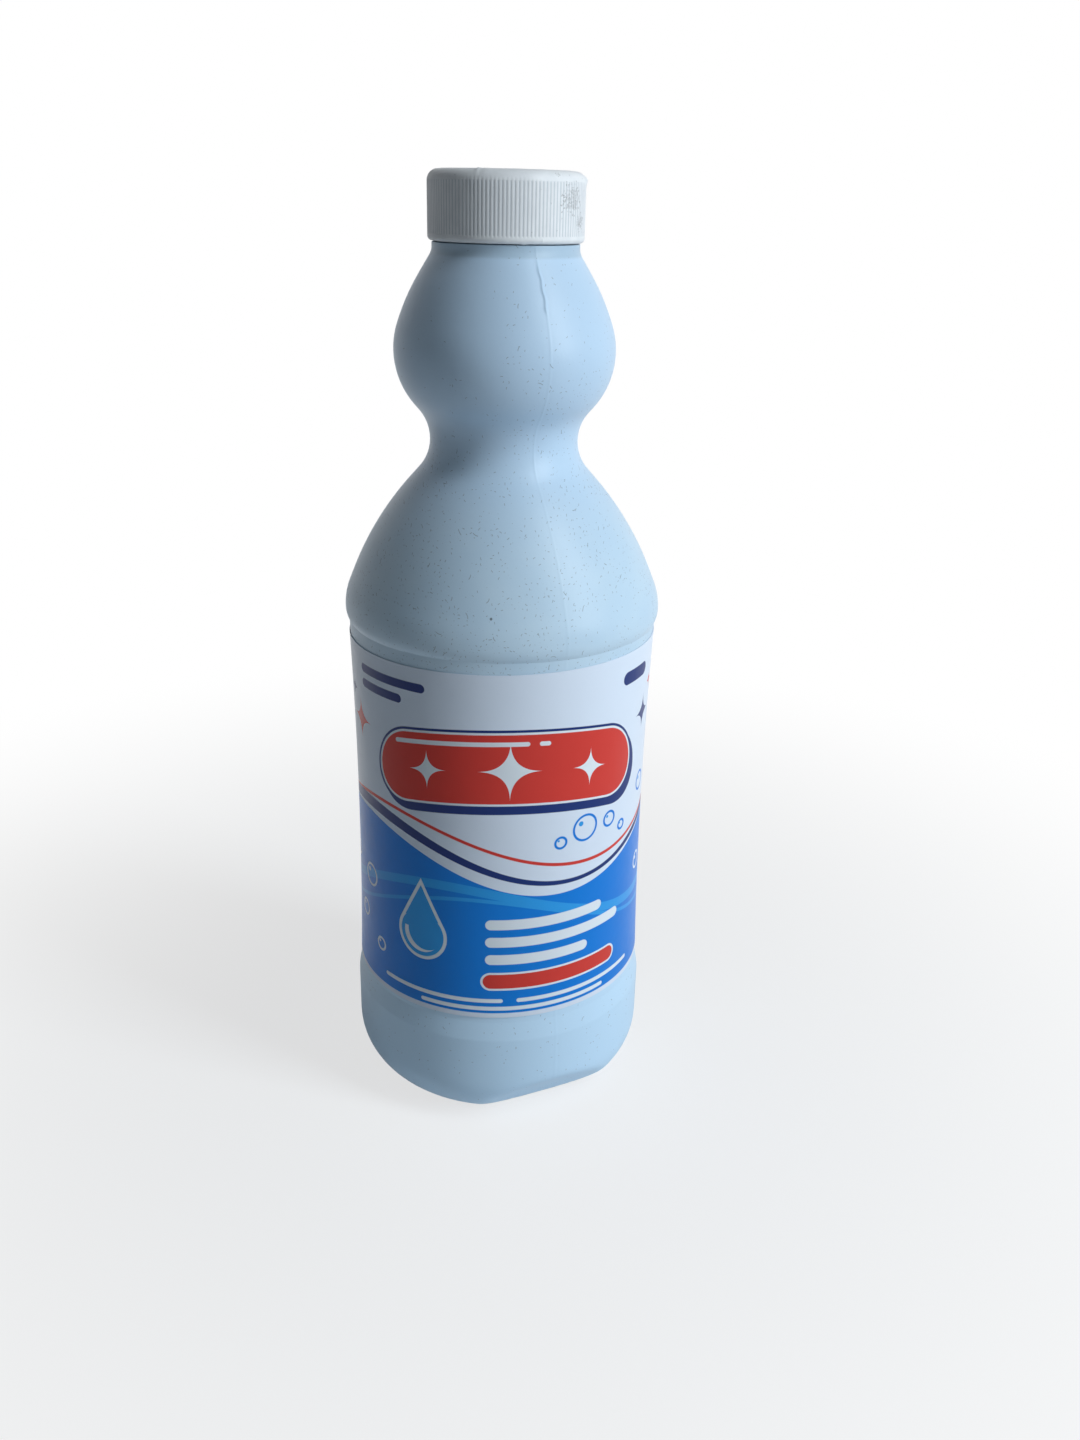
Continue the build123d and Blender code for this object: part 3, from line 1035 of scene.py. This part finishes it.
# Plain bars by place, half length and half height
MIDDLE_BARS = ((11.0, -17.2, 14.0, 1.25), (14.0, -21.6, 17.0, 1.25), (9.0, -26.0, 12.0, 1.25))
FOOT_BARS = ((-14.0, -36.6, 15.0, 0.5), (20.0, -36.6, 16.0, 0.5), (4.0, -38.6, 22.0, 0.5))
TOP_BARS = ((-26.0, 36.6, 10.0, 1.0), (-29.0, 33.2, 7.0, 1.0), (34.0, 35.2, 5.2, 1.5))
BADGE = (13.0, -31.6, 17.0, 2.3)
BADGE_EDGE = 0.5

# Back panel by place, half width, half height and rounding, and the rows of dashes on it
BACK_PANEL = (76.0, -4.0, 24.0, 31.0, 3.0)
BACK_PANEL_EDGE = 0.5
BACK_DASHES = (76.0, -4.0, 20.0, 27.0, 1.0)
ROW_PITCH = 2.3
ROW_HALF_HEIGHT = 0.36
ROW_SHIFT = 1.7
DASH_PITCH = 3.4
DASH_HALF_LENGTHS = (0.85, 1.55)


def ink_waves(art):
    """Blue field with a wavy top edge, waves in it and two ribbons above it."""
    under_foot = -art.v + (FIELD_MARGIN - (label_high - label_low) / 2)
    art.ink(abs(art.wave(*RED_WAVE)) - RED_WAVE_HALF, INK_RED)
    ribbon = abs(art.wave(*NAVY_WAVE)) + art.swing(NAVY_SWELL_AT) * NAVY_SWELL
    art.ink(ribbon - NAVY_WAVE_HALF, INK_NAVY)
    art.ink(art.wave(*FIELD_WAVE).higher(under_foot), INK_BLUE)
    for wave, half in SKY_WAVES:
        art.ink(abs(art.wave(*wave)).higher(under_foot) - half, INK_SKY)


def ink_banner(art):
    """Plain banner bent to an arch, with sparkles on it."""
    arched = art.v + art.u * art.u * ARCH
    art.ink(art.pill(*BANNER_SHADOW, arched), INK_NAVY)
    banner = art.pill(*BANNER, arched)
    for inset, colour in BANNER_INKS:
        art.ink(banner + inset, colour)
    for glint in BANNER_GLINTS:
        art.ink(art.pill(*glint, arched), INK_WHITE)
    for sparkle in BANNER_SPARKLES:
        art.ink(art.sparkle(*sparkle, arched), INK_WHITE)


def ink_motifs(art):
    """Bubbles, sparkles, a drop and plain bars."""
    for bubbles, line, shine, size in BUBBLES:
        for u, v, radius in bubbles:
            aside = BUBBLE_GLINT_AT * radius
            art.ink(abs(art.disc(u, v, radius)) - BUBBLE_LINE, line)
            art.ink(art.disc(u - aside, v + aside, size * radius), shine)
    for u, v, size, colour in SPARKLES:
        art.ink(art.sparkle(u, v, size), colour)

    drop = art.drop(*DROP)
    art.ink(drop, INK_WHITE)
    art.ink(drop + DROP_EDGE, INK_SKY)
    crescent = art.disc(*GLINT_OUTER).higher(-art.disc(*GLINT_INNER))
    art.ink(crescent.higher(art.v - GLINT_TOP), INK_WHITE)

    for bars, colour in ((MIDDLE_BARS, INK_WHITE), (FOOT_BARS, INK_WHITE), (TOP_BARS, INK_NAVY)):
        for bar in bars:
            art.ink(art.pill(*bar), colour)
    badge = art.pill(*BADGE)
    art.ink(badge, INK_WHITE)
    art.ink(badge + BADGE_EDGE, INK_RED)


def ink_back_panel(art):
    """Framed panel on the back with rows of plain dashes of random lengths."""
    panel = art.plate(*BACK_PANEL)
    art.ink(panel, INK_NAVY)
    art.ink(panel + BACK_PANEL_EDGE, FILM_WHITE)
    rows = art.v / ROW_PITCH
    row = rows.math("FLOOR")
    dashes = (art.u + row * ROW_SHIFT) / DASH_PITCH
    chance = art.tree.nodes.new("ShaderNodeTexWhiteNoise")
    chance.noise_dimensions = "2D"
    art.tree.links.new(combined(art.tree, dashes.math("FLOOR"), row), chance.inputs["Vector"])
    half_length = Field(chance.outputs["Value"]).span(*DASH_HALF_LENGTHS)
    past_end = abs(dashes.math("FRACT") - 0.5) * DASH_PITCH - half_length
    past_side = abs(rows.math("FRACT") - 0.5) * ROW_PITCH - ROW_HALF_HEIGHT
    art.ink(highest([past_end, past_side, art.plate(*BACK_DASHES)]), INK_NAVY)


def label_print():
    """Film printed with a plain household design: waves, a banner, bubbles, a drop and bars."""
    material, tree, shader = new_material("label_print")
    art = Print(tree)
    ink_waves(art)
    ink_banner(art)
    ink_motifs(art)
    ink_back_panel(art)
    point = turned_place(tree)[0]
    roughness = noise(tree, point, *LABEL_HAZE_NOISE).span(*LABEL_ROUGHNESS)
    ripple = noise(tree, point, *RIPPLE_NOISE)
    surface(tree, shader, art.colour, roughness, LABEL_SPECULAR, ripple, RIPPLE_DEPTH)
    return material


# Camera, floor and light

def place_camera():
    """Camera where the photograph was taken from, by the pinhole fit of the body's outline."""
    data = bpy.data.cameras.new("photo_camera")
    data.sensor_width = SENSOR
    data.lens = SENSOR * FOCAL_PIXELS / IMAGE_HEIGHT
    data.clip_start, data.clip_end = CAMERA_CLIP
    camera = bpy.data.objects.new("photo_camera", data)
    bpy.context.scene.collection.objects.link(camera)
    p, y, r = CAMERA_PITCH, CAMERA_YAW, CAMERA_ROLL
    forward = Vector((sin(y) * cos(p), cos(y) * cos(p), -sin(p)))
    right = Vector((cos(y), -sin(y), 0))
    up = right.cross(forward)
    right, up = right * cos(r) - up * sin(r), right * sin(r) + up * cos(r)
    turn = Matrix((right, up, -forward)).transposed().to_4x4()
    camera.matrix_world = Matrix.Translation((0, -CAMERA_DISTANCE * MM, CAMERA_LEVEL * MM)) @ turn
    bpy.context.scene.camera = camera


# Lamps by name, azimuth and elevation in degrees, distance and size in metres, power and colour
LIGHT_AIM = Vector((0, 0, 0.11))
LAMPS = (
    ("key", -28.5, 31, 0.75, (0.22, 0.7), 5.6, (0.85, 0.925, 0.975)),
    ("rim", 142, 50, 0.7, (0.1, 0.4), 0.12, (0.92, 0.96, 1.0)),
)
FILL = (0.038, 0.0475, 0.055)
WHITE = (1.0, 1.0, 1.0)


def place_light(name, azimuth, elevation, distance, size, power, colour):
    """Soft rectangular lamp aimed at the middle of the object."""
    data = bpy.data.lights.new(name, "AREA")
    data.shape = "RECTANGLE"
    data.size, data.size_y = size
    data.energy = power
    data.color = colour
    lamp = bpy.data.objects.new(name, data)
    bpy.context.scene.collection.objects.link(lamp)
    a, e = radians(azimuth), radians(elevation)
    away = Vector((cos(a) * cos(e), sin(a) * cos(e), sin(e)))
    lamp.location = LIGHT_AIM + away * distance
    lamp.rotation_euler = away.to_track_quat("Z", "Y").to_euler()


def seen_rays(tree):
    """1 for rays that show the backdrop to the camera, and 1 for those that show it in a reflection."""
    path = tree.nodes.new("ShaderNodeLightPath")
    mirrored = Field(path.outputs["Is Glossy Ray"]).higher(path.outputs["Is Transmission Ray"])
    return Field(path.outputs["Is Camera Ray"]), mirrored


# Floor in metres, with the distances over which it turns to white for the camera and in reflections
FLOOR_HALF = 6.0
FLOOR_COLOUR = (0.82, 0.83, 0.84)
FLOOR_ROUGHNESS = 0.8
FLOOR_SPECULAR = 0.1
FLOOR_FAR = (0.05, 0.30)
FLOOR_SHOWN = (0.7, 1.0)
FLOOR_CLEAR = (0.035, 0.10)
FLOOR_MIRRORED = (0.15, 1.0)


def make_floor():
    """Pale floor that runs out to plain white and keeps the object's shadow."""
    mesh = bpy.data.meshes.new("floor")
    corners = [(x * FLOOR_HALF, y * FLOOR_HALF, 0) for x, y in ((-1, -1), (1, -1), (1, 1), (-1, 1))]
    mesh.from_pydata(corners, [], [(0, 1, 2, 3)])
    floor = bpy.data.objects.new("floor", mesh)
    bpy.context.scene.collection.objects.link(floor)
    material, tree, shader = new_material("floor")
    shader.inputs["Base Color"].default_value = (*FLOOR_COLOUR, 1.0)
    shader.inputs["Roughness"].default_value = FLOOR_ROUGHNESS
    shader.inputs["Specular IOR Level"].default_value = FLOOR_SPECULAR
    glow = tree.nodes.new("ShaderNodeEmission")
    glow.inputs["Color"].default_value = (*WHITE, 1.0)
    mix = tree.nodes.new("ShaderNodeMixShader")
    place = tree.nodes.new("ShaderNodeTexCoord")
    apart = tree.nodes.new("ShaderNodeVectorMath")
    apart.operation = "LENGTH"
    tree.links.new(place.outputs["Object"], apart.inputs[0])
    away = Field(apart.outputs["Value"])
    shown, mirrored = seen_rays(tree)
    shown = shown * away.fade(*FLOOR_FAR).span(*FLOOR_SHOWN)
    mirrored = mirrored * away.fade(*FLOOR_CLEAR).span(*FLOOR_MIRRORED)
    set_or_link(mix.inputs[0], shown.higher(mirrored))
    tree.links.new(shader.outputs[0], mix.inputs[1])
    tree.links.new(glow.outputs[0], mix.inputs[2])
    tree.links.new(mix.outputs[0], tree.nodes["Material Output"].inputs["Surface"])
    mesh.materials.append(material)


def make_world():
    """White to look at, a dim cool fill as light."""
    world = bpy.data.worlds.new("studio")
    bpy.context.scene.world = world
    world.use_nodes = True
    tree = world.node_tree
    background = tree.nodes["Background"]
    shown, mirrored = seen_rays(tree)
    colour = mixed(tree, FILL, WHITE, shown.higher(mirrored))
    tree.links.new(colour, background.inputs["Color"])
    background.inputs["Strength"].default_value = 1.0


bottle = make_bottle(body_plastic())
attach(bottle, "bottle_body")
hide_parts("bottle")

label = make_label(label_print())
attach(label, "bottle_body")
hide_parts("label")

wad = make_wad(wad_foam())
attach(wad, "wad")
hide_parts("cap_liner")

cap = make_cap(cap_plastic())
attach(cap, "cap")
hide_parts("screw_cap")

place_camera()
make_floor()
make_world()
for lamp in LAMPS:
    place_light(*lamp)
bpy.context.scene.view_settings.view_transform = "Standard"
